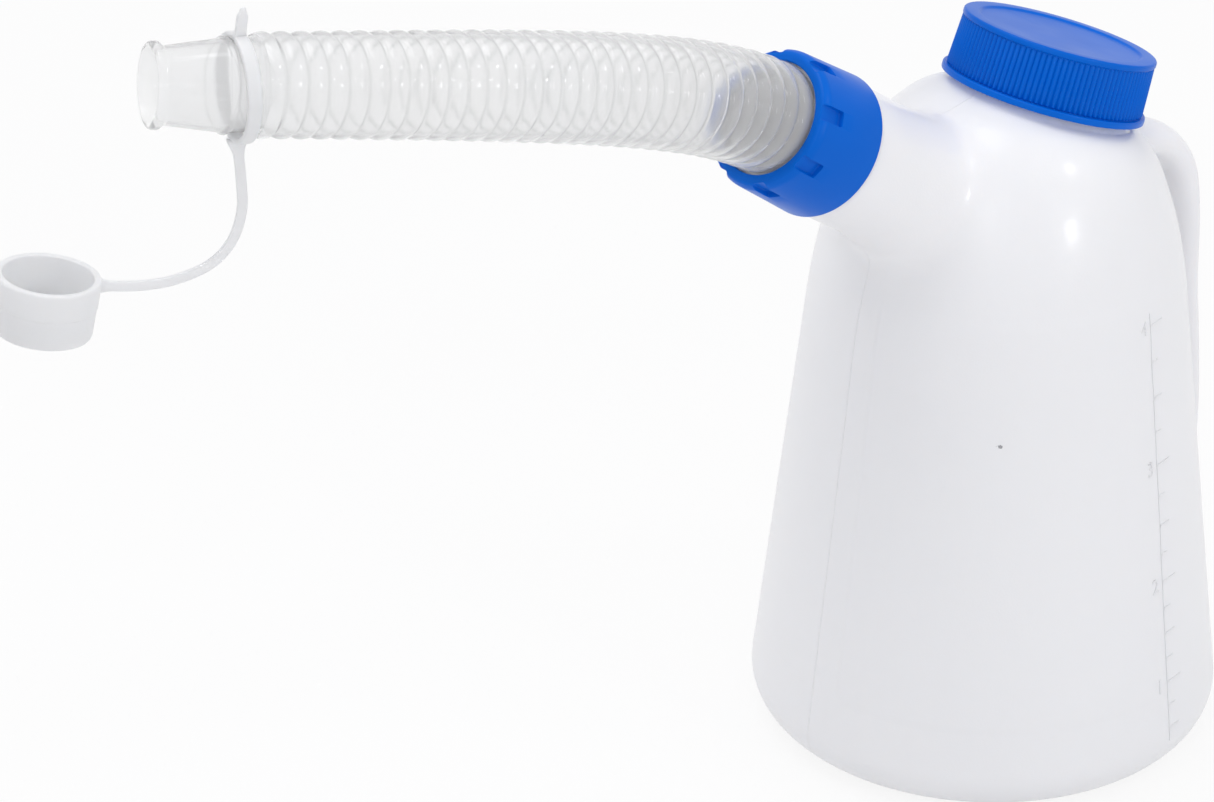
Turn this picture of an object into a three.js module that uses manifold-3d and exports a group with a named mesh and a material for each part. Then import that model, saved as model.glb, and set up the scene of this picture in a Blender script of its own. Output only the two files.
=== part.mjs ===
// Fluid flask with a bent corrugated spout, a ribbed filler lid and a tethered nozzle cap.
// Millimetres, +Z up. The origin is the centre of the flask's flat base.
// The spout points towards -X and the handle is on the +X side.
import * as THREE from "three";
import { mergeVertices } from "three/addons/utils/BufferGeometryUtils.js";
import Module from "manifold-3d";

const wasm = await Module();
wasm.setup();

const rad = THREE.MathUtils.degToRad;

// Clearances
const seatGap = 0.3; // between faces that press on each other
const threadGap = 0.5; // radial play of a screwed cap on its neck
const overlap = 1; // how far a cutter runs past the face it opens

// Flask body
const baseRadius = 92.5;
const heelRadius = 17;
const sideTaper = 0.1165; // radius lost for each millimetre of height
const shoulderStart = 188; // height where the straight side ends
const shoulderSwell = 34; // how long the shoulder keeps to the side's line
const shoulderCrown = 19.5; // how far the shoulder runs level into the filler neck
const flaskWall = 1.8;

// Filler neck, which leans back over the handle
const leanAngle = rad(19.93);
const leanStart = 168.8; // height where the body's axis starts to lean
const leanLength = 74; // length of the axis along the lean's arc
const leanedStraight = 20.07; // length of the leaned axis up to the lid's lower edge
const fillerBore = 32.4;
const fillerWall = 2.4;
const ledgeDrop = 3.2; // from the lid's lower edge down to the shoulder's ledge

// Lid
const lidHeight = 24.6;
const lidTopThickness = 2.4;
const lidRootRadius = 37.9; // at the foot of the ribs
const lidDraft = 0.045; // radius lost for each millimetre of height
const lidRibs = 110;
const lidRibDepth = 0.9;
const lidFlangeHeight = 2.6;
const lidFlangeRadius = 40;
const lidRimHeight = 2.4; // smooth band above the ribs
const lidRimStep = 0.25; // rim's lip over the ribs
const lidChamfer = 1.4;
const lidDishRadius = 31;
const lidDishDepth = 0.8;
const linerThickness = 1.6;

// Spout neck and union nut
const spoutElevation = rad(35.2);
const nutBack = new THREE.Vector3(-91.49, 0, 272.44); // centre of the nut's back face
const nutLength = 32.6;
const nutBackRadius = 28.06;
const nutFrontRadius = 26.86;
const nutFrontWall = 2.6;
const nutChamfer = 2.2;
const nutPockets = 8;
const firstPocket = rad(-20); // angle of one pocket from the nut's top
const pocketLength = 10;
const pocketWidth = 5.2;
const pocketDepth = 1.7;
const spoutNeckRadius = 23.6;
const spoutNeckWall = 2.4;
const spoutCollarRadius = 26.4; // thicker neck behind the nut
const spoutRootRadius = 34; // where the neck flares into the shoulder
const spoutRootDepth = 82; // how far behind the nut the neck starts
const spoutFlareDepth = 42; // how far behind the nut the flare begins
const sealThickness = 1.5;

// Flexible spout
const spoutEnd = new THREE.Vector3(-361, 34, 362.2); // centre of the nozzle's mouth
const nozzleElevation = rad(8.7);
const nozzleYaw = rad(19.6); // sideways, from -X towards +Y
const leadOut = 43.5; // how firmly the hose keeps the nut's direction
const leadIn = 130.7; // how firmly it keeps the nozzle's direction
const flangeThickness = 2.5;
const rootRadius = 20.3; // hose where it passes through the nut
const crestRadius = 21.2; // first corrugation
const crestTaper = 0.0143; // radius lost for each millimetre of hose
const grooveDepth = 1.5;
const corrugations = 30;
const corrugationPitch = 7.22;
const firstCrest = 9.4;
const crestFlat = 0.62; // share of the pitch that the crest's crown takes
const hoseWall = 1.3;
const tetherGroove = 15.8; // nozzle radius under the tether's loop
const tetherGrooveWidth = 8.8;
const ridgeHeight = 0.9;
const nozzleTipRadius = 13.3;
const nozzleRimRadius = 14.9;
const nozzleRimLength = 4;
const nozzleBore = 12.3;

// Tether and nozzle cap
const loopWidth = 5;
const loopThickness = 2;
const loopPlay = 1.4; // radial play on the nozzle
const loopClimb = rad(4); // the loop hangs steeper than the nozzle is square
const strapWidth = 4.5;
const strapThickness = 1.6;
const tabHeight = 10.7;
const tabThickness = 1.8;
const tabLean = 1.8;
const capRim = new THREE.Vector2(69.2, -58); // rim's centre, forward and up from the loop
const strapDrop = 68.3; // strap's lowest point below the loop's centre
const capTilt = rad(9.3);
const capHeight = 21;
const capDraft = 0.06;
const capWall = 3;
const capFloor = 2.2;
const capClearance = 0.6; // of the cap's socket round the nozzle's rim
const capEdge = 3;
const plugHeight = 5;
const plugWall = 1.3;
const plugClearance = 0.4; // of the plug inside the nozzle's mouth

// Handle
const handleWidth = 24;
const handleDepth = 15;
const handleWall = 2;
const handleHigh = 227.5;
const handleLow = 56;
const handleStandoff = 20; // from the body's side to the middle of the grip
const scoopReach = 17; // how deep the hand's recess goes into the body
const scoopHalfWidth = 38;
const scoopLow = 65;
const scoopHigh = 205;

// The flask is one moulding. Its solid is kept in simple lengths, a hair apart.
const floorRadius = 70;
const spoutNeckCut = -20; // along the spout's axis from the nut's back
const fillerNeckCut = 1.5; // above the shoulder's ledge
const recessHalfWidth = 42;
const recessMargin = 2; // beyond the hand's recess, up and down
const spoutRootReach = spoutRootRadius + 6; // round the spout's axis
const shoulderRise = 45.2; // from where the lean starts up to the dome under the lid

const bodySides = 32;
const innerSides = 24;
const lidSides = 40;
const hoseSides = 12;

// Sizes that follow from the ones above
const lidSeat = leanStart + leanLength + leanedStraight; // along the body's axis
const fillerNeckRadius = fillerBore + fillerWall;
const lidInnerRadius = fillerNeckRadius + threadGap;
const lidCeiling = lidHeight - lidTopThickness;
const linerLow = lidCeiling - seatGap - linerThickness;
const fillerRim = lidSeat + linerLow - seatGap;
const spoutAxis = new THREE.Vector3(-Math.cos(spoutElevation), 0, Math.sin(spoutElevation));
const nutInnerFace = nutLength - nutFrontWall;
const flangeLow = nutInnerFace - seatGap - flangeThickness;
const sealLow = flangeLow - seatGap - sealThickness;
const spoutRim = sealLow - seatGap;
const nutInnerRadius = spoutNeckRadius + threadGap;
const flangeRadius = nutInnerRadius - threadGap;
const nutHoleRadius = crestRadius + threadGap;
const spoutBore = spoutNeckRadius - spoutNeckWall;
const hoseStart = nutBack.clone().addScaledVector(spoutAxis, nutLength);
const nozzleAxis = new THREE.Vector3(
  -Math.cos(nozzleYaw) * Math.cos(nozzleElevation),
  Math.sin(nozzleYaw) * Math.cos(nozzleElevation),
  Math.sin(nozzleElevation)
);
const hoseLine = new THREE.CubicBezierCurve3(
  hoseStart,
  hoseStart.clone().addScaledVector(spoutAxis, leadOut),
  spoutEnd.clone().addScaledVector(nozzleAxis, -leadIn),
  spoutEnd
);
hoseLine.arcLengthDivisions = 400;
const hoseLength = hoseLine.getLength();
const grooveStart = firstCrest + (corrugations - 0.5) * corrugationPitch;
const loopPlace = grooveStart + tetherGrooveWidth / 2;

function toSolid(geometry) {
  const bare = geometry.index ? geometry.clone() : geometry;
  bare.deleteAttribute("normal");
  bare.deleteAttribute("uv");
  const merged = mergeVertices(bare, 1e-3);
  const corners = merged.index.array;
  const kept = [];
  for (let i = 0; i < corners.length; i += 3) {
    const [a, b, c] = [corners[i], corners[i + 1], corners[i + 2]];
    if (a !== b && b !== c && c !== a) kept.push(a, b, c);
  }
  const mesh = new wasm.Mesh({
    numProp: 3,
    vertProperties: new Float32Array(merged.attributes.position.array),
    triVerts: new Uint32Array(kept)
  });
  return new wasm.Manifold(mesh);
}

function toGeometry(solid) {
  const mesh = solid.getMesh();
  const geometry = new THREE.BufferGeometry();
  geometry.setAttribute("position", new THREE.BufferAttribute(mesh.vertProperties, 3));
  geometry.setIndex(new THREE.BufferAttribute(mesh.triVerts, 1));
  return geometry;
}

// A profile of [radius, height] points, in order up the outside, turned round +Z.
function turned(points, sides) {
  const outline = points.map(([radius, height]) => new THREE.Vector2(radius, height));
  return new THREE.LatheGeometry(outline, sides).rotateX(Math.PI / 2);
}

// Points of a quarter of a circle, from one angle to another.
function arc(centreRadius, centreHeight, radius, fromAngle, toAngle, steps) {
  const points = [];
  for (let i = 0; i <= steps; i += 1) {
    const angle = fromAngle + ((toAngle - fromAngle) * i) / steps;
    const across = centreRadius + radius * Math.cos(angle);
    points.push([across, centreHeight + radius * Math.sin(angle)]);
  }
  return points;
}

// Moves a profile sideways along its normals, to the inside of the wall.
function inset(points, distance) {
  return points.map(([radius, height], i) => {
    const before = points[Math.max(i - 1, 0)];
    const after = points[Math.min(i + 1, points.length - 1)];
    const along = new THREE.Vector2(after[0] - before[0], after[1] - before[1]).normalize();
    return [Math.max(radius - along.y * distance, 0), height + along.x * distance];
  });
}

// Carries a straight shape, built along +Z, onto a bent axis.
function bent(geometry, axisAt) {
  const place = geometry.attributes.position;
  const acrossY = new THREE.Vector3(0, 1, 0);
  for (let i = 0; i < place.count; i += 1) {
    const { point, tangent } = axisAt(place.getZ(i));
    const side = acrossY.clone().addScaledVector(tangent, -acrossY.dot(tangent)).normalize();
    const front = side.clone().cross(tangent);
    point.addScaledVector(front, place.getX(i)).addScaledVector(side, place.getY(i));
    place.setXYZ(i, point.x, point.y, point.z);
  }
  return geometry;
}

// The body's axis: upright, then an arc, then straight along the filler neck.
function leaningAxis(height) {
  const along = THREE.MathUtils.clamp(height - leanStart, 0, leanLength);
  const angle = (leanAngle * along) / leanLength;
  const arcRadius = leanLength / leanAngle;
  const tangent = new THREE.Vector3(Math.sin(angle), 0, Math.cos(angle));
  const beyond = Math.max(height - leanStart - leanLength, 0);
  const point = new THREE.Vector3(
    arcRadius * (1 - Math.cos(angle)),
    0,
    Math.min(height, leanStart) + arcRadius * Math.sin(angle)
  );
  return { point: point.addScaledVector(tangent, beyond), tangent };
}

// The hose's axis, run on straight at both of its ends.
function hoseAxis(distance) {
  const inside = THREE.MathUtils.clamp(distance, 0, hoseLength);
  const share = inside / hoseLength;
  const tangent = hoseLine.getTangentAt(share);
  const point = hoseLine.getPointAt(share).addScaledVector(tangent, distance - inside);
  return { point, tangent };
}

function sideRadius(height) {
  return baseRadius - sideTaper * (height - heelRadius);
}

function bodyProfile() {
  const edge = sideRadius(shoulderStart);
  const ledge = lidSeat - ledgeDrop;
  const shoulder = new THREE.CubicBezierCurve(
    new THREE.Vector2(edge, shoulderStart),
    new THREE.Vector2(edge - sideTaper * shoulderSwell, shoulderStart + shoulderSwell),
    new THREE.Vector2(fillerNeckRadius + shoulderCrown, ledge - 3),
    new THREE.Vector2(fillerNeckRadius + 1, ledge)
  );
  const crown = shoulder.getPoints(8).map((point) => [point.x, point.y]);
  return [
    [0, 0],
    ...arc(baseRadius - heelRadius, heelRadius, heelRadius, -Math.PI / 2, 0, 4),
    [sideRadius(leanStart), leanStart],
    ...crown
  ];
}

function spoutNeckSpan(points) {
  return turned(points, innerSides).rotateY(spoutElevation - Math.PI / 2).translate(
    nutBack.x,
    nutBack.y,
    nutBack.z
  );
}

function spoutNeckOutside() {
  return spoutNeckSpan([
    [0, -spoutRootDepth],
    [spoutRootRadius, -spoutRootDepth],
    [spoutCollarRadius + 2.2, -(spoutRootDepth + spoutFlareDepth) / 2],
    [spoutCollarRadius, -spoutFlareDepth],
    [spoutCollarRadius, -seatGap * 2],
    [spoutNeckRadius, -seatGap * 2],
    [spoutNeckRadius, spoutRim],
    [0, spoutRim]
  ]);
}

function spoutNeckInside() {
  return spoutNeckSpan([
    [0, -spoutRootDepth - overlap],
    [spoutRootRadius - flaskWall, -spoutRootDepth - overlap],
    [spoutBore, -spoutFlareDepth / 2],
    [spoutBore, spoutRim + overlap],
    [0, spoutRim + overlap]
  ]);
}

// The handle's line, from inside the shoulder down and back into the side. Each knot is
// a share of the standoff and a share of the handle's rise.
function handleLine() {
  return new THREE.CatmullRomCurve3(
    [
      [-0.94, 0.956],
      [-0.1, 1],
      [0.58, 0.98],
      [1.06, 0.91],
      [1.16, 0.793],
      [1.04, 0.606],
      [1.01, 0.426],
      [0.93, 0.245],
      [0.72, 0.117],
      [0.19, 0.035],
      [-0.6, 0]
    ].map(([out, up]) => {
      const height = handleLow + (handleHigh - handleLow) * up;
      return new THREE.Vector3(sideRadius(height) + handleStandoff * out, 0, height);
    })
  );
}

function ovalAlong(line, width, depth, sides, steps) {
  const oval = new THREE.Shape();
  for (let i = 0; i < sides; i += 1) {
    const angle = (2 * Math.PI * (i + 0.5)) / sides;
    const across = (width / 2) * Math.cos(angle);
    const through = (depth / 2) * Math.sin(angle);
    if (i === 0) oval.moveTo(across, through);
    else oval.lineTo(across, through);
  }
  oval.closePath();
  return new THREE.ExtrudeGeometry(oval, { extrudePath: line, steps, bevelEnabled: false });
}

// The recess behind the handle that leaves room for the hand.
function handScoop(grow) {
  const middle = (scoopLow + scoopHigh) / 2;
  const reach = handleDepth + scoopReach;
  const centre = sideRadius(middle) - scoopReach + reach;
  return new THREE.SphereGeometry(1, 16, 10)
    .scale(reach + grow, scoopHalfWidth + grow, (scoopHigh - scoopLow) / 2 + grow)
    .rotateY(-Math.atan(sideTaper))
    .translate(centre, 0, middle);
}

// The body's outside, with the hand's recess, grown by a gap.
function bodyOutside(grow) {
  const outline = inset(bodyProfile(), -grow);
  outline[0][1] = -grow;
  const ledge = outline[outline.length - 1];
  const rim = fillerRim + grow;
  const body = toSolid(bent(turned([
    ...outline,
    [fillerNeckRadius + grow, ledge[1] + 1],
    [fillerNeckRadius + grow, rim],
    [0, rim]
  ], bodySides), leaningAxis));
  return body.subtract(toSolid(handScoop(-grow)));
}

function bodyInside() {
  const outline = inset(bodyProfile(), flaskWall).slice(0, -1);
  outline[0][1] = flaskWall;
  const ledge = lidSeat - ledgeDrop;
  const hollow = toSolid(bent(turned([
    ...outline,
    [fillerBore, ledge - flaskWall],
    [fillerBore, fillerRim + overlap],
    [0, fillerRim + overlap]
  ], innerSides), leaningAxis));
  return hollow.subtract(toSolid(handScoop(flaskWall)));
}

function flaskWalls() {
  return bodyOutside(0)
    .add(toSolid(spoutNeckOutside()))
    .subtract(bodyInside())
    .subtract(toSolid(spoutNeckInside()));
}

function handle() {
  const line = handleLine();
  const grip = toSolid(ovalAlong(line, handleWidth, handleDepth, 12, 16));
  const hollow = toSolid(
    ovalAlong(line, handleWidth - 2 * handleWall, handleDepth - 2 * handleWall, 8, 16)
  );
  return grip.subtract(hollow).subtract(bodyOutside(seatGap));
}

// Everything below a height, for cutting the walls into lengths.
function below(height) {
  const reach = 4 * baseRadius;
  return new THREE.BoxGeometry(reach, reach, reach).translate(0, 0, height - reach / 2);
}

function beyondSpoutCut(gap) {
  return below(-spoutNeckCut + gap)
    .rotateX(Math.PI)
    .rotateY(spoutElevation - Math.PI / 2)
    .translate(nutBack.x, nutBack.y, nutBack.z);
}

function beyondFillerCut(gap) {
  const { point } = leaningAxis(lidSeat - ledgeDrop + fillerNeckCut);
  return turned([
    [0, -gap],
    [lidFlangeRadius, -gap],
    [lidFlangeRadius, lidHeight + overlap],
    [0, lidHeight + overlap]
  ], bodySides).rotateY(leanAngle).translate(point.x, point.y, point.z);
}

function spoutRootCut(gap) {
  return spoutNeckSpan([
    [0, -spoutRootDepth],
    [spoutRootReach + gap, -spoutRootDepth],
    [spoutRootReach + gap, 0],
    [0, 0]
  ]);
}

function recessBox(gap) {
  const high = scoopHigh + recessMargin + gap;
  const low = scoopLow - recessMargin - gap;
  return new THREE.BoxGeometry(2 * baseRadius, 2 * (recessHalfWidth + gap), high - low)
    .translate(baseRadius, 0, (high + low) / 2);
}

function floorDisc(gap) {
  return turned([
    [0, -overlap],
    [floorRadius + gap, -overlap],
    [floorRadius + gap, flaskWall + overlap],
    [0, flaskWall + overlap]
  ], bodySides);
}

// The moulding's lengths by name. Each is taken off the walls, then a gap after it.
function flaskLengths() {
  const cuts = [
    ["spout_neck", beyondSpoutCut],
    ["filler_neck", beyondFillerCut],
    ["spout_root", spoutRootCut],
    ["hand_recess", recessBox],
    ["flask_floor", floorDisc],
    ["flask_heel", (gap) => below(heelRadius + gap)],
    ["flask_side", (gap) => below(leanStart + gap)],
    ["flask_shoulder", (gap) => below(leanStart + shoulderRise + gap)]
  ];
  const lengths = { handle: handle() };
  let walls = flaskWalls();
  for (const [name, cutter] of cuts) {
    lengths[name] = walls.intersect(toSolid(cutter(0)));
    walls = walls.subtract(toSolid(cutter(seatGap)));
  }
  lengths.filler_dome = walls;
  return lengths;
}

// A ring of fine saw-tooth ribs, drawn in a little towards the top.
function lidRibBand(low, high) {
  const outline = new THREE.Shape();
  const tip = lidRootRadius + lidRibDepth;
  for (let i = 0; i < lidRibs; i += 1) {
    const step = (2 * Math.PI) / lidRibs;
    const root = step * i;
    const crest = root + step * 0.5;
    if (i === 0) outline.moveTo(lidRootRadius, 0);
    else outline.lineTo(lidRootRadius * Math.cos(root), lidRootRadius * Math.sin(root));
    outline.lineTo(tip * Math.cos(crest), tip * Math.sin(crest));
  }
  outline.closePath();
  const hole = new THREE.Path();
  hole.absarc(0, 0, lidRootRadius - 1.3 * overlap, 0, 2 * Math.PI, true);
  outline.holes.push(hole);
  const band = new THREE.ExtrudeGeometry(outline, {
    depth: high - low,
    curveSegments: lidSides / 2,
    bevelEnabled: false
  });
  const place = band.attributes.position;
  for (let i = 0; i < place.count; i += 1) {
    const height = low + place.getZ(i);
    const across = Math.hypot(place.getX(i), place.getY(i));
    const drawn = (across - lidDraft * height) / across;
    place.setXYZ(i, place.getX(i) * drawn, place.getY(i) * drawn, height);
  }
  return band;
}

function lid() {
  const rimLow = lidHeight - lidRimHeight;
  const rimRadius = lidRootRadius + lidRibDepth - lidDraft * rimLow + lidRimStep;
  const shell = toSolid(turned([
    [lidInnerRadius, lidCeiling],
    [lidInnerRadius, 0],
    [lidFlangeRadius - 0.8, 0],
    [lidFlangeRadius, 0.8],
    [lidFlangeRadius, lidFlangeHeight - 0.8],
    [lidFlangeRadius - 0.8, lidFlangeHeight],
    [lidRootRadius - overlap, lidFlangeHeight],
    [lidRootRadius - 1.5 * overlap, rimLow],
    [rimRadius, rimLow],
    [rimRadius, lidHeight - lidChamfer],
    [rimRadius - lidChamfer, lidHeight],
    [lidDishRadius + lidDishDepth, lidHeight],
    [lidDishRadius, lidHeight - lidDishDepth],
    [0, lidHeight - lidDishDepth],
    [0, lidCeiling],
    [lidInnerRadius, lidCeiling]
  ], lidSides));
  return shell.add(toSolid(lidRibBand(lidFlangeHeight - overlap / 2, rimLow + overlap / 2)));
}

function lidLiner() {
  const radius = lidInnerRadius - seatGap;
  return toSolid(turned([
    [0, linerLow],
    [radius, linerLow],
    [radius, linerLow + linerThickness],
    [0, linerLow + linerThickness]
  ], bodySides));
}

function nutPocket(index) {
  const angle = firstPocket + (2 * Math.PI * index) / nutPockets;
  const floor = nutFrontRadius - pocketDepth;
  const deep = nutBackRadius + overlap - floor;
  return new THREE.BoxGeometry(deep, pocketWidth, pocketLength + overlap)
    .translate(floor + deep / 2, 0, nutLength - pocketLength / 2 + overlap / 2)
    .rotateZ(Math.PI + angle);
}

function unionNut() {
  let nut = toSolid(turned([
    [nutInnerRadius, 0],
    [nutBackRadius - 0.5, 0],
    [nutBackRadius, 0.5],
    [nutFrontRadius, nutLength - nutChamfer],
    [nutFrontRadius - nutChamfer * 0.4, nutLength - nutChamfer * 0.3],
    [nutFrontRadius - nutChamfer, nutLength],
    [nutHoleRadius, nutLength],
    [nutHoleRadius, nutInnerFace],
    [nutInnerRadius, nutInnerFace],
    [nutInnerRadius, 0]
  ], bodySides));
  for (let i = 0; i < nutPockets; i += 1) nut = nut.subtract(toSolid(nutPocket(i)));
  return nut;
}

function spoutSeal() {
  return toSolid(turned([
    [spoutBore, sealLow],
    [flangeRadius, sealLow],
    [flangeRadius, sealLow + sealThickness],
    [spoutBore, sealLow + sealThickness],
    [spoutBore, sealLow]
  ], innerSides));
}

function crestAt(distance) {
  return crestRadius - crestTaper * Math.max(distance, 0);
}

// The spout's outside, from the flange to the nozzle's mouth.
function spoutOutside() {
  const flangeBack = flangeLow - nutLength;
  const points = [
    [flangeRadius, flangeBack],
    [flangeRadius, flangeBack + flangeThickness],
    [rootRadius, flangeBack + flangeThickness],
    [rootRadius, firstCrest - corrugationPitch / 2]
  ];
  const crown = (corrugationPitch * crestFlat) / 2;
  for (let i = 0; i < corrugations; i += 1) {
    const middle = firstCrest + i * corrugationPitch;
    const radius = crestAt(middle);
    points.push([radius, middle - crown], [radius, middle + crown]);
    const next = middle + corrugationPitch / 2;
    if (i < corrugations - 1) points.push([radius - grooveDepth, next]);
  }
  return points;
}

// The nozzle: the tether's groove, a ridge that keeps the loop on, a taper and a rounded rim.
function nozzleOutside() {
  const grooveEnd = grooveStart + tetherGrooveWidth;
  const rimStart = hoseLength - nozzleRimLength;
  return [
    [tetherGroove, grooveStart],
    [tetherGroove, grooveEnd],
    [tetherGroove + ridgeHeight, grooveEnd + 0.5],
    [tetherGroove + ridgeHeight, grooveEnd + 1.7],
    [tetherGroove, grooveEnd + 2.6],
    [nozzleTipRadius, rimStart - 0.8],
    [nozzleRimRadius - 0.7, rimStart],
    [nozzleRimRadius, rimStart + 0.8],
    [nozzleRimRadius, hoseLength - 1],
    [nozzleRimRadius - 1, hoseLength]
  ];
}

// The spout's bore follows the corrugations at one wall's distance.
function spoutInside() {
  const points = [[nozzleBore, hoseLength], [nozzleTipRadius - hoseWall, hoseLength - 5]];
  points.push([tetherGroove - hoseWall, grooveStart + tetherGrooveWidth + 2]);
  points.push([tetherGroove - hoseWall, grooveStart - corrugationPitch / 4]);
  for (let i = corrugations - 1; i >= 0; i -= 1) {
    const middle = firstCrest + i * corrugationPitch;
    const radius = crestAt(middle) - hoseWall;
    if (i < corrugations - 1) points.push([radius, middle]);
    points.push([radius - grooveDepth, middle - corrugationPitch / 2]);
  }
  points.push([rootRadius - grooveDepth, flangeLow - nutLength]);
  return points;
}

function flexibleSpout() {
  const outside = [...spoutOutside(), ...nozzleOutside()];
  const closed = [...outside, ...spoutInside(), outside[0]];
  return toSolid(bent(turned(closed, hoseSides), hoseAxis));
}

// The loop, strap, cap and pull tab are one moulding. Its frame is the loop's:
// +X forward along the nozzle as seen from above, +Z up.
function loopFrame() {
  const { point, tangent } = hoseAxis(loopPlace);
  const yaw = Math.atan2(tangent.y, tangent.x);
  const climb = Math.asin(tangent.z);
  return { point, yaw, climb };
}

// How far the loop hangs below the nozzle's axis, resting on top of the nozzle.
function loopDrop(climb) {
  const skew = climb - loopClimb;
  const under = tetherGroove / Math.cos(skew) + (loopWidth / 2) * Math.tan(skew);
  return tetherGroove + loopPlay - under - seatGap;
}

function tetherLoop(climb) {
  const inner = tetherGroove + loopPlay;
  const outer = inner + loopThickness;
  const drop = loopDrop(climb);
  return turned([
    [inner, -loopWidth / 2],
    [outer, -loopWidth / 2],
    [outer, loopWidth / 2],
    [inner, loopWidth / 2],
    [inner, -loopWidth / 2]
  ], innerSides)
    .rotateY(Math.PI / 2 - loopClimb)
    .translate(drop * Math.sin(loopClimb), 0, -drop * Math.cos(loopClimb));
}

function stripAlong(points, width, thickness, steps) {
  const strip = new THREE.Shape();
  strip.moveTo(-width / 2, -thickness / 2);
  strip.lineTo(width / 2, -thickness / 2);
  strip.lineTo(width / 2, thickness / 2);
  strip.lineTo(-width / 2, thickness / 2);
  strip.closePath();
  const line = new THREE.CatmullRomCurve3(points.map(([x, z]) => new THREE.Vector3(x, 0, z)));
  return new THREE.ExtrudeGeometry(strip, { extrudePath: line, steps, bevelEnabled: false });
}

function tetherStrap(climb) {
  const hang = loopDrop(climb) + tetherGroove + loopPlay + loopThickness / 2;
  const capSide = capRim.x - (nozzleRimRadius + capClearance + capWall * 0.4);
  return stripAlong([
    [hang * Math.sin(loopClimb), -hang * Math.cos(loopClimb)],
    [capSide * 0.008, -strapDrop * 0.498],
    [capSide * 0.011, -strapDrop * 0.688],
    [capSide * 0.086, -strapDrop * 0.842],
    [capSide * 0.229, -strapDrop * 0.946],
    [capSide * 0.476, -strapDrop],
    [capSide * 0.724, -strapDrop * 0.9985],
    [capSide, -strapDrop * 0.9575]
  ], strapWidth, strapThickness, 22);
}

function pullTab(climb) {
  const foot = tetherGroove + loopPlay + loopThickness / 2 - loopDrop(climb);
  const start = -foot * Math.sin(loopClimb);
  return stripAlong([
    [start, foot],
    [start - tabLean / 2, foot + tabHeight / 2],
    [start - tabLean, foot + tabHeight]
  ], strapWidth, tabThickness, 3);
}

function nozzleCap() {
  const inner = nozzleRimRadius + capClearance;
  const outer = inner + capWall;
  const low = outer - capDraft * capHeight;
  const plugOuter = nozzleBore - plugClearance;
  return turned([
    [0, -capHeight],
    ...arc(low - capEdge, capEdge - capHeight, capEdge, -Math.PI / 2, 0, 3),
    [outer, -0.8],
    [outer - 0.8, 0],
    [inner, 0],
    [inner, capFloor - capHeight],
    [plugOuter, capFloor - capHeight],
    [plugOuter, capFloor + plugHeight - capHeight],
    [plugOuter - plugWall, capFloor + plugHeight - capHeight],
    [plugOuter - plugWall, capFloor - capHeight],
    [0, capFloor - capHeight]
  ], innerSides)
    .rotateY(-capTilt)
    .translate(capRim.x, 0, capRim.y);
}

function tetheredCap(climb) {
  return toSolid(tetherLoop(climb))
    .add(toSolid(tetherStrap(climb)))
    .add(toSolid(pullTab(climb)))
    .add(toSolid(nozzleCap()));
}

const milkyWhite = new THREE.MeshStandardMaterial({
  color: 0xe4e8ee,
  roughness: 0.42,
  metalness: 0
});
const glossyBlue = new THREE.MeshStandardMaterial({
  color: 0x0a5bd0,
  roughness: 0.28,
  metalness: 0
});
const clearPlastic = new THREE.MeshStandardMaterial({
  color: 0xdfe5ec,
  roughness: 0.2,
  metalness: 0
});
const hazyPlastic = new THREE.MeshStandardMaterial({
  color: 0xd2dbe4,
  roughness: 0.35,
  metalness: 0
});
const sealGrey = new THREE.MeshStandardMaterial({
  color: 0x3a3c40,
  roughness: 0.8,
  metalness: 0
});

function part(name, solid, material) {
  const mesh = new THREE.Mesh(toGeometry(solid), material);
  mesh.name = name;
  return mesh;
}

const assembly = new THREE.Group();
for (const [name, solid] of Object.entries(flaskLengths())) {
  assembly.add(part(name, solid, milkyWhite));
}

const lidStack = new THREE.Group();
lidStack.position.copy(leaningAxis(lidSeat).point);
lidStack.rotation.y = leanAngle;
lidStack.add(part("lid", lid(), glossyBlue));
lidStack.add(part("lid_liner", lidLiner(), sealGrey));
assembly.add(lidStack);

const unionStack = new THREE.Group();
unionStack.position.copy(nutBack);
unionStack.rotation.y = spoutElevation - Math.PI / 2;
unionStack.add(part("union_nut", unionNut(), glossyBlue));
unionStack.add(part("spout_seal", spoutSeal(), sealGrey));
assembly.add(unionStack);

assembly.add(part("flexible_spout", flexibleSpout(), clearPlastic));

const tether = loopFrame();
const capMesh = part("tethered_cap", tetheredCap(tether.climb), hazyPlastic);
capMesh.position.copy(tether.point);
capMesh.rotation.z = tether.yaw;
assembly.add(capMesh);

export default assembly;
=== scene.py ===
import math

import bpy
from mathutils import Matrix, Vector


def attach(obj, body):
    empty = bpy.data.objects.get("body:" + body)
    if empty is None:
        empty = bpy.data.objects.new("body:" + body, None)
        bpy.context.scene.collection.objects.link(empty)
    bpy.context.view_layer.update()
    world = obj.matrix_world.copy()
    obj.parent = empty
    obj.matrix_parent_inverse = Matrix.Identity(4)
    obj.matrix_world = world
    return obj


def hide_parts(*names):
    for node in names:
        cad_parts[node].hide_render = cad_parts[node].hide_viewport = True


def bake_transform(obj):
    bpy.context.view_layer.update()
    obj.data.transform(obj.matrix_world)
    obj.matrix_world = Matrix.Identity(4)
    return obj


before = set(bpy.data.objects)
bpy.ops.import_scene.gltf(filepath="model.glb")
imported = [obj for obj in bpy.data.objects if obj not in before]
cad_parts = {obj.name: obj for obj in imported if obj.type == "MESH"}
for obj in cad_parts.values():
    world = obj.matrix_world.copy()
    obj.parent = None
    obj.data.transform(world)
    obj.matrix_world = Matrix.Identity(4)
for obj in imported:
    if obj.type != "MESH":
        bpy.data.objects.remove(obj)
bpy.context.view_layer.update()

MM = 0.001

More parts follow.
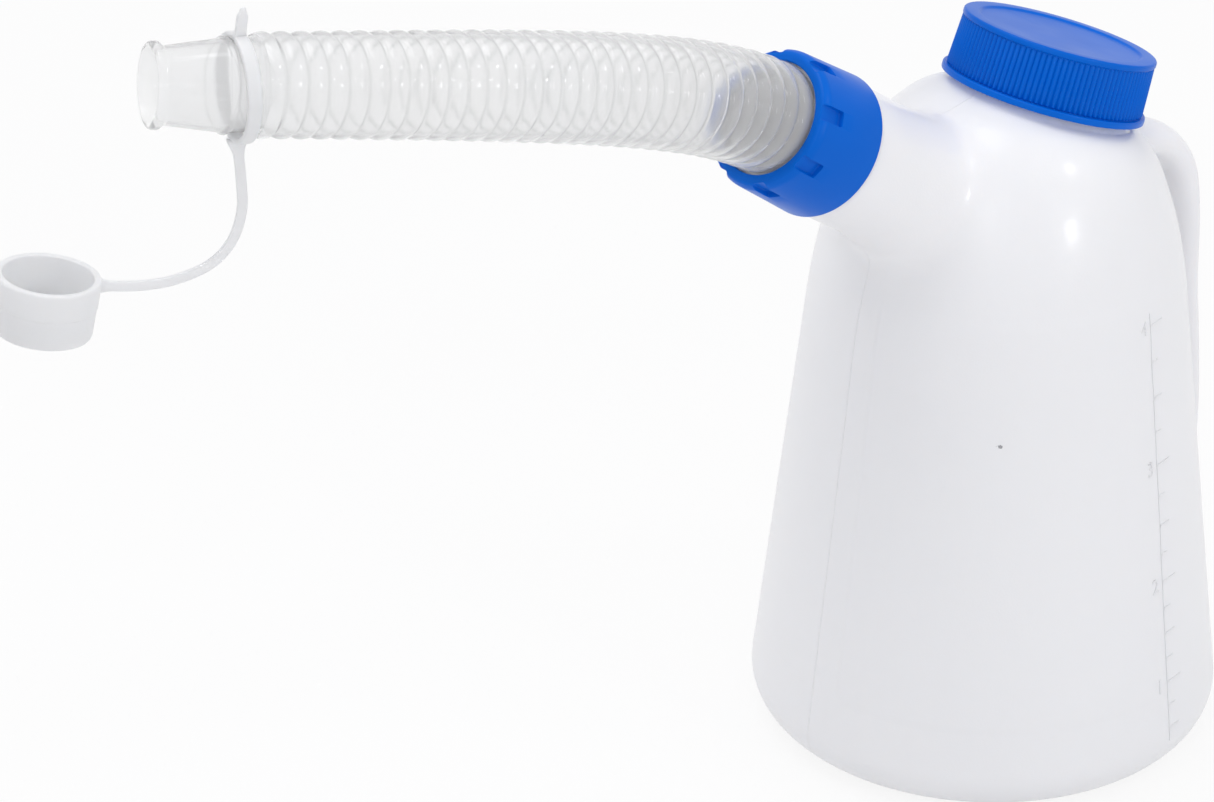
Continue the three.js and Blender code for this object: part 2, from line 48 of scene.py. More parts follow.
# Sizes shared with the solids, in millimetres
SEAT_GAP = 0.3
BASE_RADIUS = 92.5
HEEL_RADIUS = 17.0
SIDE_TAPER = 0.1165
SHOULDER_START = 188.0
SHOULDER_SWELL = 34.0
SHOULDER_CROWN = 19.5
FLASK_WALL = 1.8
RECESS_LOW, RECESS_HIGH = 65.0, 205.0
RECESS_DEPTH = 17.0
RECESS_HALF_WIDTH = 38.0
LEAN_ANGLE = math.radians(19.93)
LEAN_AXIS = Vector((math.sin(LEAN_ANGLE), 0.0, math.cos(LEAN_ANGLE)))
LEAN_START = 168.8
LEAN_LENGTH = 74.0
LEAN_RADIUS = LEAN_LENGTH / LEAN_ANGLE
LEANED_STRAIGHT = 20.07
LID_SEAT = LEAN_START + LEAN_LENGTH + LEANED_STRAIGHT
LEDGE = LID_SEAT - 3.2
FILLER_BORE = 32.4
FILLER_RADIUS = 34.8
LID_ROOT = 37.9
LID_DRAFT = 0.045
RIBS = 110
RIB_DEPTH = 0.9
SPOUT_RISE = math.radians(35.2)
SPOUT_AXIS = Vector((-math.cos(SPOUT_RISE), 0.0, math.sin(SPOUT_RISE)))
NUT_BACK = Vector((-91.49, 0.0, 272.44))
NUT_LENGTH = 32.6
NUT_FRONT_RADIUS = 26.86
SPOUT_BORE = 21.2
SPOUT_NECK_RADIUS = 23.6
SPOUT_COLLAR_RADIUS = 26.4
HOSE_START = NUT_BACK + SPOUT_AXIS * NUT_LENGTH
HOSE_LEAD_OUT = 43.5
HOSE_LEAD_IN = 130.7
HOSE_ROOT = 20.3
CREST_RADIUS = 21.2
CREST_TAPER = 0.0143
PITCH = 7.22
SPOUT_END = Vector((-361.0, 34.0, 362.2))
NOZZLE_RISE = math.radians(8.7)
NOZZLE_YAW = math.radians(19.6)
NOZZLE_AXIS = Vector((
    -math.cos(NOZZLE_YAW) * math.cos(NOZZLE_RISE),
    math.sin(NOZZLE_YAW) * math.cos(NOZZLE_RISE),
    math.sin(NOZZLE_RISE),
))
NOZZLE_RIM = 14.9
GROOVE_RADIUS = 15.8
GROOVE_WIDTH = 8.8
LOOP_PLAY = 1.4
LOOP_THICKNESS = 2.0
LOOP_HALF_WIDTH = 2.5
LOOP_CLIMB = math.radians(4.0)
CAP_RIM = (69.2, -58.0)
CAP_TILT = math.radians(9.3)
CAP_HEIGHT = 21.0
CAP_CLEARANCE = 0.6

# Where the hose's line passes through the loop, with its turn and climb there
LOOP_POINT = Vector((-331.2717, 24.2084, 357.1185))
LOOP_YAW = 2.8477713
NOZZLE_CLIMB = 0.1704039

# One corrugation more than the solids have, at the nut's end
CORRUGATIONS = 31
FIRST_CREST = 2.18

# Threads are drawn here only, at the lead that the joints carry
THREAD_LEAD = 6.0


# Handling a piece

def let_go():
    """Nothing stays selected, so an operator acts on the next piece alone."""
    if bpy.context.object and bpy.context.object.mode != "OBJECT":
        bpy.ops.object.mode_set(mode="OBJECT")
    bpy.ops.object.select_all(action="DESELECT")


def hold(piece, *others):
    """Selects a piece as the active one, with others that it works on."""
    let_go()
    for other in others:
        other.select_set(True)
    piece.select_set(True)
    bpy.context.view_layer.objects.active = piece


def name_piece(name):
    piece = bpy.context.object
    piece.name = name
    piece.data.name = name
    return piece


def set_down(piece, turn=(0.0, 0.0, 0.0), place=(0.0, 0.0, 0.0)):
    """Turns and moves a finished shape, and keeps its place in its mesh."""
    hold(piece)
    piece.rotation_euler = turn
    piece.location = Vector(place) * MM
    bpy.ops.object.transform_apply(location=True, rotation=True, scale=True)
    return piece


def finish_modifiers(piece):
    hold(piece)
    for modifier in list(piece.modifiers):
        bpy.ops.object.modifier_apply(modifier=modifier.name)
    return piece


def smooth(piece, degrees=35.0):
    hold(piece)
    bpy.ops.object.shade_smooth_by_angle(angle=math.radians(degrees))


def round_edges(piece, width, segments, sharper_than=30.0):
    """Bevels the edges that turn by more than some degrees."""
    bevel = piece.modifiers.new("round_edges", "BEVEL")
    bevel.width = width * MM
    bevel.segments = segments
    bevel.limit_method = "ANGLE"
    bevel.angle_limit = math.radians(sharper_than)
    return finish_modifiers(piece)


def pick_points(piece, wanted):
    """Selects only the points that a test wants, ready to be moved in edit mode."""
    hold(piece)
    bpy.ops.object.mode_set(mode="EDIT")
    bpy.ops.mesh.select_mode(type="VERT")
    bpy.ops.mesh.select_all(action="DESELECT")
    bpy.ops.object.mode_set(mode="OBJECT")
    for vertex in piece.data.vertices:
        vertex.select = wanted(vertex.co / MM)
    bpy.ops.object.mode_set(mode="EDIT")


def slice_up(piece, run, rings):
    """Cuts rings across a straight shape that stands on z = 0, so that it can bend."""
    bpy.ops.object.mode_set(mode="EDIT")
    for k in range(1, rings):
        bpy.ops.mesh.select_all(action="SELECT")
        bpy.ops.mesh.bisect(plane_co=(0, 0, run * MM * k / rings), plane_no=(0, 0, 1))
    bpy.ops.object.mode_set(mode="OBJECT")


def cut(piece, cutter):
    """Takes the cutter's room out of a piece, and the cutter away."""
    modifier = piece.modifiers.new("cut", "BOOLEAN")
    modifier.object = cutter
    modifier.operation = "DIFFERENCE"
    modifier.solver = "EXACT"
    finish_modifiers(piece)
    bpy.data.objects.remove(cutter, do_unlink=True)
    return piece


def join(piece, *others):
    hold(piece, *others)
    bpy.ops.object.join()
    return piece


# Profiles and lines

def eased(corners, steps=4):
    """Rounds the corners of a profile. A corner is (radius, height) or (radius, height, rounding)."""
    most = 0.48  # of a run, so that the roundings at its two ends never meet
    line = []
    for i, corner in enumerate(corners):
        here = Vector(corner[:2])
        rounding = corner[2] if len(corner) > 2 else 0.0
        if not rounding or i in (0, len(corners) - 1):
            line.append(tuple(here))
            continue
        back = Vector(corners[i - 1][:2]) - here
        ahead = Vector(corners[i + 1][:2]) - here
        reach = min(rounding, back.length * most, ahead.length * most)
        start = here + back.normalized() * reach
        end = here + ahead.normalized() * reach
        for k in range(steps + 1):
            t = k / steps
            point = start * (1 - t) ** 2 + here * 2 * t * (1 - t) + end * t ** 2
            line.append(tuple(point))
    return line


def spaced(line, longest):
    """Splits a profile's long runs, so that it can bend."""
    out = [line[0]]
    for before, after in zip(line, line[1:]):
        run = (Vector(after) - Vector(before)).length
        parts = max(1, math.ceil(run / longest))
        for k in range(1, parts + 1):
            out.append(tuple(Vector(before).lerp(Vector(after), k / parts)))
    return out


def draw_profile(name, line):
    """Draws a profile in the XZ plane, vertex by vertex."""
    let_go()
    bpy.ops.mesh.primitive_plane_add(size=MM)
    piece = name_piece(name)
    bpy.ops.object.mode_set(mode="EDIT")
    bpy.ops.mesh.select_all(action="SELECT")
    bpy.ops.mesh.merge(type="CENTER")
    bpy.ops.transform.translate(value=(line[0][0] * MM, 0.0, line[0][1] * MM))
    for before, after in zip(line, line[1:]):
        step = ((after[0] - before[0]) * MM, 0.0, (after[1] - before[1]) * MM)
        bpy.ops.mesh.extrude_region_move(TRANSFORM_OT_translate={"value": step})
    return piece


def spin_profile(name, line, sides):
    """Spins a profile round +Z into a closed shape."""
    piece = draw_profile(name, line)
    bpy.ops.mesh.select_all(action="SELECT")
    bpy.ops.mesh.spin(steps=sides, angle=2 * math.pi, center=(0, 0, 0), axis=(0, 0, 1))
    bpy.ops.mesh.select_all(action="SELECT")
    bpy.ops.mesh.remove_doubles(threshold=2e-6)
    bpy.ops.mesh.normals_make_consistent(inside=False)
    bpy.ops.object.mode_set(mode="OBJECT")
    return piece


def guide_line(name, points):
    """A line that straight shapes are bent onto."""
    curve = bpy.data.curves.new(name, "CURVE")
    curve.dimensions = "3D"
    curve.twist_mode = "MINIMUM"
    spline = curve.splines.new("POLY")
    spline.points.add(len(points) - 1)
    for knot, point in zip(spline.points, points):
        knot.co = (point[0] * MM, point[1] * MM, point[2] * MM, 1.0)
    line = bpy.data.objects.new(name, curve)
    bpy.context.scene.collection.objects.link(line)
    return line


def bend_onto(piece, points):
    """Carries a shape built along +Z onto a line."""
    line = guide_line(piece.name + "_line", points)
    modifier = piece.modifiers.new("bend", "CURVE")
    modifier.object = line
    modifier.deform_axis = "POS_Z"
    finish_modifiers(piece)
    bpy.data.objects.remove(line, do_unlink=True)
    return piece


def through(knots, steps):
    """A smooth line through a few points."""
    knots = [Vector(knot) for knot in knots]
    ends = [knots[0] * 2 - knots[1]] + knots + [knots[-1] * 2 - knots[-2]]
    line = []
    for i in range(1, len(ends) - 2):
        p0, p1, p2, p3 = ends[i - 1:i + 3]
        a, b, c = ((q - p).length ** 0.5 for p, q in ((p0, p1), (p1, p2), (p2, p3)))
        out = ((p1 - p0) / a - (p2 - p0) / (a + b) + (p2 - p1) / b) * b
        home = ((p2 - p1) / b - (p3 - p1) / (b + c) + (p3 - p2) / c) * b
        for k in range(steps):
            t = k / steps
            line.append(
                p1 * (2 * t ** 3 - 3 * t ** 2 + 1) + out * (t ** 3 - 2 * t ** 2 + t)
                + p2 * (3 * t ** 2 - 2 * t ** 3) + home * (t ** 3 - t ** 2)
            )
    line.append(knots[-1])
    return line


def length_of(line):
    return sum((Vector(b) - Vector(a)).length for a, b in zip(line, line[1:]))


def bezier(p0, p1, p2, p3, t):
    s = 1 - t
    return tuple(
        s ** 3 * a + 3 * s * s * t * b + 3 * s * t * t * c + t ** 3 * d
        for a, b, c, d in zip(p0, p1, p2, p3)
    )


def side_radius(height):
    return BASE_RADIUS - SIDE_TAPER * (height - HEEL_RADIUS)


def lean_point(angle):
    """A point of the body's middle line, on the arc where it leans back."""
    across, up = LEAN_RADIUS * (1 - math.cos(angle)), LEAN_RADIUS * math.sin(angle)
    return across, 0.0, LEAN_START + up


def leaning_line(arc_steps=60, past=60):
    """The body's middle line: upright, an arc, then straight along the filler neck."""
    line = [(0.0, 0.0, height) for height in range(0, int(LEAN_START), 8)]
    line += [lean_point(LEAN_ANGLE * k / arc_steps) for k in range(arc_steps + 1)]
    return line + [tuple(Vector(line[-1]) + LEAN_AXIS * past)]


def lid_place():
    """The middle of the lid's lower edge."""
    return Vector(lean_point(LEAN_ANGLE)) + LEAN_AXIS * LEANED_STRAIGHT


def hose_line(steps=360, fine_steps=2000):
    """The hose's middle line, in equal steps of its length."""
    p1 = HOSE_START + SPOUT_AXIS * HOSE_LEAD_OUT
    p2 = SPOUT_END - NOZZLE_AXIS * HOSE_LEAD_IN
    fine = [
        Vector(bezier(HOSE_START, p1, p2, SPOUT_END, k / fine_steps)) for k in range(fine_steps + 1)
    ]
    run = [0.0]
    for a, b in zip(fine, fine[1:]):
        run.append(run[-1] + (b - a).length)
    line, i = [], 0
    for k in range(steps + 1):
        want = run[-1] * k / steps
        while i < fine_steps - 1 and run[i + 1] < want:
            i += 1
        share = (want - run[i]) / (run[i + 1] - run[i])
        line.append(fine[i].lerp(fine[i + 1], share))
    return line, run[-1]


# Finishes

def node(tree, kind, **values):
    new = tree.nodes.new(kind)
    for name, value in values.items():
        setattr(new, name, value)
    return new


def wire(tree, source, target):
    """Links a socket, or sets a plain value on it."""
    if isinstance(source, bpy.types.NodeSocket):
        tree.links.new(source, target)
    elif source is not None:
        target.default_value = source


def math_node(tree, operation, *values, clamp=False):
    new = node(tree, "ShaderNodeMath", operation=operation, use_clamp=clamp)
    for socket, value in zip(new.inputs, values):
        wire(tree, value, socket)
    return new.outputs[0]


def noise(tree, vector, scale, detail=2.0):
    new = node(tree, "ShaderNodeTexNoise")
    new.inputs["Detail"].default_value = detail
    wire(tree, vector, new.inputs["Vector"])
    wire(tree, scale, new.inputs["Scale"])
    return new.outputs["Fac"]


def rise(tree, value, start, end, kind="SMOOTHSTEP"):
    """A mask that goes from 0 where the value is start to 1 where it is end."""
    new = node(tree, "ShaderNodeMapRange", interpolation_type=kind)
    new.inputs["From Min"].default_value = start
    new.inputs["From Max"].default_value = end
    wire(tree, value, new.inputs["Value"])
    return new.outputs["Result"]


def shade_mix(tree, mask, first, second):
    mix = node(tree, "ShaderNodeMix", data_type="RGBA")
    wire(tree, mask, mix.inputs[0])
    wire(tree, first, mix.inputs[6])
    wire(tree, second, mix.inputs[7])
    return mix.outputs[2]


def group_of(name, inputs, outputs):
    """An empty effect with its sockets and its two end nodes."""
    tree = bpy.data.node_groups.new(name, "ShaderNodeTree")
    for label, kind, value in inputs:
        socket = tree.interface.new_socket(name=label, in_out="INPUT", socket_type=kind)
        if value is not None:
            socket.default_value = value
    for label, kind in outputs:
        tree.interface.new_socket(name=label, in_out="OUTPUT", socket_type=kind)
    return tree, tree.nodes.new("NodeGroupInput").outputs, tree.nodes.new("NodeGroupOutput").inputs


def build_moulded_grain():
    """The fine frosted grain of a mould, with slow waves of shrinkage under it."""
    tree, given, result = group_of(
        "moulded_grain",
        [("Vector", "NodeSocketVector", None), ("Grain", "NodeSocketFloat", 1400.0),
         ("Waves", "NodeSocketFloat", 28.0), ("Wave Share", "NodeSocketFloat", 0.5)],
        [("Height", "NodeSocketFloat"), ("Mask", "NodeSocketFloat")],
    )
    grain_share = 0.12
    fine = noise(tree, given["Vector"], given["Grain"])
    slow = noise(tree, given["Vector"], given["Waves"], 1.5)
    waves = math_node(tree, "MULTIPLY", slow, given["Wave Share"])
    height = math_node(tree, "ADD", math_node(tree, "MULTIPLY", fine, grain_share), waves)
    wire(tree, height, result["Height"])
    wire(tree, slow, result["Mask"])
    return tree


def build_colour_drift():
    """Two close shades of one plastic that drift into each other."""
    tree, given, result = group_of(
        "colour_drift",
        [("Vector", "NodeSocketVector", None), ("Scale", "NodeSocketFloat", 9.0),
         ("Light", "NodeSocketColor", (0.8, 0.8, 0.8, 1.0)),
         ("Deep", "NodeSocketColor", (0.7, 0.7, 0.7, 1.0))],
        [("Color", "NodeSocketColor")],
    )
    clouds = noise(tree, given["Vector"], given["Scale"], 3.0)
    spread = rise(tree, clouds, 0.35, 0.65, "LINEAR")
    wire(tree, shade_mix(tree, spread, given["Light"], given["Deep"]), result["Color"])
    return tree


def build_fine_scratches():
    """Hair-fine rubs from handling, stretched along one direction."""
    tree, given, result = group_of(
        "fine_scratches",
        [("Vector", "NodeSocketVector", None), ("Scale", "NodeSocketFloat", 240.0),
         ("Amount", "NodeSocketFloat", 0.5)],
        [("Mask", "NodeSocketFloat")],
    )
    turn = node(tree, "ShaderNodeMapping")
    turn.inputs["Rotation"].default_value = (0.5, 0.3, 0.7)
    turn.inputs["Scale"].default_value = (1.0, 0.05, 0.35)
    wire(tree, given["Vector"], turn.inputs["Vector"])
    streaks = rise(tree, noise(tree, turn.outputs["Vector"], given["Scale"]), 0.62, 0.72, "LINEAR")
    wire(tree, math_node(tree, "MULTIPLY", streaks, given["Amount"]), result["Mask"])
    return tree


def build_mould_seam():
    """A thin raised line where the two halves of the mould met, in the plane y = 0."""
    tree, given, result = group_of(
        "mould_seam",
        [("Vector", "NodeSocketVector", None), ("Half Width", "NodeSocketFloat", 0.0004)],
        [("Height", "NodeSocketFloat")],
    )
    split = node(tree, "ShaderNodeSeparateXYZ")
    wire(tree, given["Vector"], split.inputs[0])
    away = math_node(tree, "ABSOLUTE", split.outputs["Y"])
    share = math_node(tree, "DIVIDE", away, given["Half Width"])
    wire(tree, math_node(tree, "SUBTRACT", 1.0, share, clamp=True), result["Height"])
    return tree


GRAIN = build_moulded_grain()
DRIFT = build_colour_drift()
SCRATCHES = build_fine_scratches()
SEAM = build_mould_seam()


def effect(tree, group, vector, **values):
    new = node(tree, "ShaderNodeGroup", node_tree=group)
    wire(tree, vector, new.inputs["Vector"])
    for label, value in values.items():
        new.inputs[label.replace("_", " ")].default_value = value
    return new


def plastic(name, light, deep, roughness, **sockets):
    """A moulded plastic: drifting shade, grain in the gloss and the surface, light handling marks."""
    material = bpy.data.materials.new(name)
    material.use_nodes = True
    tree = material.node_tree
    shader = tree.nodes["Principled BSDF"]
    place = node(tree, "ShaderNodeTexCoord").outputs["Object"]
    drift = effect(tree, DRIFT, place, Light=light, Deep=deep, Scale=sockets.pop("drift"))
    wire(tree, drift.outputs["Color"], shader.inputs["Base Color"])
    grain = effect(
        tree, GRAIN, place, Grain=sockets.pop("grain"), Waves=sockets.pop("waves"),
        Wave_Share=sockets.pop("wave_share"),
    )
    rubs = effect(tree, SCRATCHES, place, Amount=sockets.pop("rubs", 0.4))
    uneven = sockets.pop("uneven", 0.1)
    gloss = math_node(tree, "MULTIPLY_ADD", grain.outputs["Mask"], uneven, roughness)
    dulled = math_node(tree, "MULTIPLY_ADD", rubs.outputs["Mask"], 0.15, gloss)
    wire(tree, dulled, shader.inputs["Roughness"])
    bump = node(tree, "ShaderNodeBump")
    bump.inputs["Strength"].default_value = sockets.pop("bump")
    bump.inputs["Distance"].default_value = sockets.pop("depth")
    wire(tree, grain.outputs["Height"], bump.inputs["Height"])
    wire(tree, bump.outputs["Normal"], shader.inputs["Normal"])
    for label, value in sockets.items():
        shader.inputs[label.replace("_", " ")].default_value = value
    return material, tree, shader, bump, place


def wall_panel(tree, place):
    """A mask of the wall from foot to shoulder, less a strip beside the seam under the spout."""
    split = node(tree, "ShaderNodeSeparateXYZ")
    wire(tree, place, split.inputs[0])
    around = math_node(tree, "ARCTAN2", split.outputs["Y"], split.outputs["X"])
    side = rise(tree, around, math.radians(-172.5), math.radians(-171.0))
    foot = rise(tree, split.outputs["Z"], 0.036, 0.040)
    head = rise(tree, split.outputs["Z"], 0.206, 0.200)
    return math_node(tree, "MULTIPLY", math_node(tree, "MULTIPLY", side, foot), head)


def scuff(tree, place):
    """A mask of one small ragged mark on the body's front."""
    middle, reach, ragged = (-0.0501, -0.0576, 0.1560), 0.0036, -0.006
    near = node(tree, "ShaderNodeVectorMath", operation="DISTANCE")
    near.inputs[1].default_value = middle
    wire(tree, place, near.inputs[0])
    edge = math_node(tree, "MULTIPLY_ADD", noise(tree, place, 900.0), ragged, reach)
    return math_node(tree, "LESS_THAN", near.outputs["Value"], edge)


def flask_finish():
    """Milky blow-moulded polyethylene, with its seam, its panel's fine step and a small scuff."""
    material, tree, shader, bump, place = plastic(
        "milky_flask", (0.900, 0.898, 0.914, 1), (0.884, 0.884, 0.902, 1), 0.29,
        drift=6.0, grain=1300.0, waves=36.0, wave_share=0.4, bump=0.42, depth=0.0007,
        rubs=0.12, Subsurface_Weight=0.3, Subsurface_Scale=0.004,
        Subsurface_Radius=(1.0, 0.92, 0.85), Specular_IOR_Level=0.4,
        Coat_Weight=0.25, Coat_Roughness=0.11,
    )
    seam = effect(tree, SEAM, place).outputs["Height"]
    panel = math_node(tree, "MULTIPLY", wall_panel(tree, place), 0.6)
    raised = node(tree, "ShaderNodeBump")
    raised.inputs["Strength"].default_value = 0.6
    raised.inputs["Distance"].default_value = 0.0005
    wire(tree, math_node(tree, "MULTIPLY_ADD", seam, 0.5, panel), raised.inputs["Height"])
    wire(tree, bump.outputs["Normal"], raised.inputs["Normal"])
    wire(tree, raised.outputs["Normal"], shader.inputs["Normal"])
    colour = shader.inputs["Base Color"]
    clean = colour.links[0].from_socket
    wire(tree, shade_mix(tree, scuff(tree, place), clean, (0.35, 0.35, 0.37, 1)), colour)
    return material


def simple_finish(*args, **sockets):
    return plastic(*args, **sockets)[0]


def wear(piece, material):
    piece.data.materials.clear()
    piece.data.materials.append(material)


# Camera, floor and light

def photo_camera():
    """The photograph's viewpoint, fitted to the body's two outlines."""
    turn, rise, roll = math.radians(-38.597), math.radians(28.511), math.radians(-0.098)
    away, aside, above = 1982.627, -150.519, 118.113
    focal_pixels, photo_width, sensor = 4912.629, 1214.0, 36.0
    back = Vector((
        math.sin(turn) * math.cos(rise), -math.cos(turn) * math.cos(rise), math.sin(rise)
    ))
    right = Vector((math.cos(turn), math.sin(turn), 0.0))
    up = back.cross(right)
    eye = (back * away + right * aside + up * above) * MM
    across = right * math.cos(roll) + up * math.sin(roll)
    upward = up * math.cos(roll) - right * math.sin(roll)
    let_go()
    bpy.ops.object.camera_add()
    camera = bpy.context.object
    camera.name = "photo_camera"
    camera.data.sensor_fit = "HORIZONTAL"
    camera.data.sensor_width = sensor
    camera.data.lens = focal_pixels * sensor / photo_width
    camera.data.clip_end = 30.0
    camera.matrix_world = Matrix((
        (across.x, upward.x, back.x, eye.x),
        (across.y, upward.y, back.y, eye.y),
        (across.z, upward.z, back.z, eye.z),
        (0.0, 0.0, 0.0, 1.0),
    ))
    bpy.context.scene.camera = camera


def ray_mask(tree, *kinds):
    """1 for rays of the named kinds, from Light Path."""
    rays = node(tree, "ShaderNodeLightPath")
    seen = rays.outputs[kinds[0]]
    for kind in kinds[1:]:
        seen = math_node(tree, "MAXIMUM", seen, rays.outputs[kind])
    return seen


def shader_mix(tree, share, first, second, target):
    mix = node(tree, "ShaderNodeMixShader")
    for source, socket in zip((share, first, second), mix.inputs):
        wire(tree, source, socket)
    wire(tree, mix.outputs[0], target)


def pale_floor():
    """A floor that is near white to the camera, to reflections and through clear pieces."""
    let_go()
    bpy.ops.mesh.primitive_plane_add(size=14.0, location=(0.0, 0.0, -0.0002))
    floor = name_piece("pale_floor")
    material = bpy.data.materials.new("pale_floor")
    material.use_nodes = True
    tree = material.node_tree
    shader = tree.nodes["Principled BSDF"]
    shader.inputs["Base Color"].default_value = (0.86, 0.86, 0.86, 1)
    shader.inputs["Roughness"].default_value = 0.9
    seen = ray_mask(tree, "Is Camera Ray", "Is Glossy Ray", "Is Transmission Ray")
    white = node(tree, "ShaderNodeEmission").outputs[0]
    target = tree.nodes["Material Output"].inputs[0]
    shader_mix(tree, math_node(tree, "MULTIPLY", seen, 0.86), shader.outputs[0], white, target)
    wear(floor, material)


def studio_light():
    """A soft pale room that is plain white to the camera, and four lamps on the flask."""
    world = bpy.data.worlds.new("pale_studio")
    world.use_nodes = True
    tree = world.node_tree
    soft = tree.nodes["Background"]
    soft.inputs["Color"].default_value = (0.965, 0.965, 0.99, 1)
    soft.inputs["Strength"].default_value = 0.74
    seen = ray_mask(tree, "Is Camera Ray", "Is Transmission Ray")
    white = node(tree, "ShaderNodeBackground").outputs[0]
    shader_mix(tree, seen, soft.outputs[0], white, tree.nodes["World Output"].inputs[0])
    bpy.context.scene.world = world
    aim = Vector((-0.03, 0.0, 0.19))
    for name, place, size, power in (
        ("left_lamp", (-1.030, -0.700, 1.080), 0.11, 1.4),
        ("front_lamp", (0.123, -1.451, 0.770), 0.24, 2.2),
        ("right_lamp", (0.537, -0.843, 1.400), 0.20, 1.5),
        ("top_softbox", (-0.35, 0.45, 2.1), 1.2, 11.5),
    ):
        let_go()
        bpy.ops.object.light_add(type="AREA", location=place)
        lamp = bpy.context.object
        lamp.name = name
        lamp.data.size = size
        lamp.data.energy = power
        lamp.rotation_euler = (aim - Vector(place)).to_track_quat("-Z", "Y").to_euler()


# Flask

def set_on_spout(piece):
    """Stands a piece spun round +Z on the spout's axis, from the nut's back."""
    return set_down(piece, (0.0, SPOUT_RISE - math.pi / 2, 0.0), NUT_BACK)


def set_on_filler(piece):
    """Stands a piece spun round +Z on the filler's axis, from the lid's lower edge."""
    return set_down(piece, (0.0, LEAN_ANGLE, 0.0), lid_place())


def shoulder_line(steps=26):
    edge = side_radius(SHOULDER_START)
    knots = (
        (edge, SHOULDER_START),
        (edge - SIDE_TAPER * SHOULDER_SWELL, SHOULDER_START + SHOULDER_SWELL),
        (FILLER_RADIUS + SHOULDER_CROWN, LEDGE - 3),
        (FILLER_RADIUS + 1, LEDGE),
    )
    return [bezier(*knots, k / steps) for k in range(steps + 1)]


def heel_line(inset, steps=10):
    middle = BASE_RADIUS - HEEL_RADIUS
    reach = HEEL_RADIUS - inset
    line = []
    for k in range(steps + 1):
        angle = -math.pi / 2 + math.pi / 2 * k / steps
        line.append((middle + reach * math.cos(angle), HEEL_RADIUS + reach * math.sin(angle)))
    return line


BASE_LIFT = 0.9  # of the middle of the base off the floor


def body_form(name, sides):
    """The body's outside without handle or spout, up to the ledge under the lid."""
    side = spaced([(side_radius(h), h) for h in (HEEL_RADIUS, LEAN_START, SHOULDER_START)], 9)
    foot = eased([
        (0, BASE_LIFT), (62, BASE_LIFT, 4), (66, 0.0, 4), (BASE_RADIUS - HEEL_RADIUS, 0.0),
    ])
    neck = [(FILLER_RADIUS, LEDGE + 1), (FILLER_RADIUS, LEDGE + 6), (0, LEDGE + 6)]
    line = foot[:-1] + heel_line(0) + side[1:-1] + shoulder_line() + neck
    return bend_onto(spin_profile(name, line, sides), leaning_line())


def body_hollow():
    """The room inside the body's wall, up into the filler neck."""
    side = spaced([(side_radius(h) - FLASK_WALL, h) for h in (HEEL_RADIUS, SHOULDER_START)], 20)
    shoulder = shoulder_line(14)
    inner = []
    for before, here, after in zip(shoulder, shoulder[1:], shoulder[2:]):
        along = (Vector(after) - Vector(before)).normalized()
        inner.append((here[0] - along.y * FLASK_WALL, here[1] + along.x * FLASK_WALL))
    neck = [(FILLER_BORE, LEDGE - FLASK_WALL), (FILLER_BORE, LEDGE + 12), (0, LEDGE + 12)]
    line = [(0, FLASK_WALL + BASE_LIFT)] + heel_line(FLASK_WALL, 6) + side[1:] + inner + neck
    return bend_onto(spin_profile("hollow", line, 72), leaning_line())


def hand_recess(grow=0.0):
    """An upright egg that takes room for the fingers out of the body's side, behind the handle."""
    outside = 15.0  # from the body's side out to the egg's middle
    middle = (RECESS_LOW + RECESS_HIGH) / 2
    reach = outside + RECESS_DEPTH
    half_height = (RECESS_HIGH - RECESS_LOW) / 2
    let_go()
    bpy.ops.mesh.primitive_uv_sphere_add(segments=96, ring_count=64, radius=1.0)
    recess = name_piece("recess_form")
    recess.scale = [(size + grow) * MM for size in (reach, RECESS_HALF_WIDTH, half_height)]
    centre = side_radius(middle) - RECESS_DEPTH + reach
    return set_down(recess, (0.0, -math.atan(SIDE_TAPER), 0.0), (centre, 0.0, middle))


def handle_tube():
    half_width, half_depth = 12.0, 7.45
    knots = (
        (50, 220), (66, 227.5), (80, 224), (91, 212), (95.3, 192), (96.6, 160), (99.7, 129),
        (101.6, 98), (100, 76), (91, 62), (76, 56),
    )
    line = through([(x, 0.0, z) for x, z in knots], 8)
    run = length_of(line)
    let_go()
    bpy.ops.mesh.primitive_cylinder_add(vertices=40, radius=1.0, depth=run * MM)
    tube = name_piece("grip_tube")
    tube.scale = (half_width * MM, half_depth * MM, 1.0)
    set_down(tube, place=(0.0, 0.0, run / 2))
    slice_up(tube, run, 72)
    return bend_onto(tube, line)


def spout_root():
    """The neck that swells out of the shoulder, up to the nut's back."""
    collar = SPOUT_COLLAR_RADIUS
    line = [
        (0, -84), (36.5, -84), (34.2, -74), (31.6, -64), (29.6, -54), (28.2, -46), (27.2, -38),
        (26.6, -30), (collar, -20), (collar, -10), (collar, -0.6), (0, -0.6),
    ]
    return set_on_spout(spin_profile("spout_root", line, 96))


def step(value, low, high):
    """0 below low, 1 above high, and a smooth rise between them."""
    t = min(max((value - low) / (high - low), 0.0), 1.0)
    return t * t * (3 - 2 * t)


def mark_soft_zones(piece):
    """Groups: what is eased, the spout's root, and the plain body, which keeps its exact form."""
    groups = [piece.vertex_groups.new(name=name) for name in ("eased", "root", "true")]
    for vertex in piece.data.vertices:
        place = vertex.co / MM
        along = (place - NUT_BACK).dot(SPOUT_AXIS)
        away = ((place - NUT_BACK) - SPOUT_AXIS * along).length
        # All but the last of the neck, where the nut sits
        eased_share = step(-along, 1.0, 5.0)
        # Where the neck leaves the shoulder
        root_share = (
            step(-along, 12.0, 30.0) * (1.0 - step(away, 40.0, 58.0)) * step(-place.x, -4.0, 6.0)
        )
        # Clear of the spout, and of the handle and its recess
        true_share = step(away, 46.0, 60.0) if place.x < 20 else 1.0
        if place.x > 0 and place.z < 250:
            true_share *= step(abs(place.y), 44.0, 54.0)
        for group, share in zip(groups, (eased_share, root_share, true_share)):
            group.add([vertex.index], share, "REPLACE")


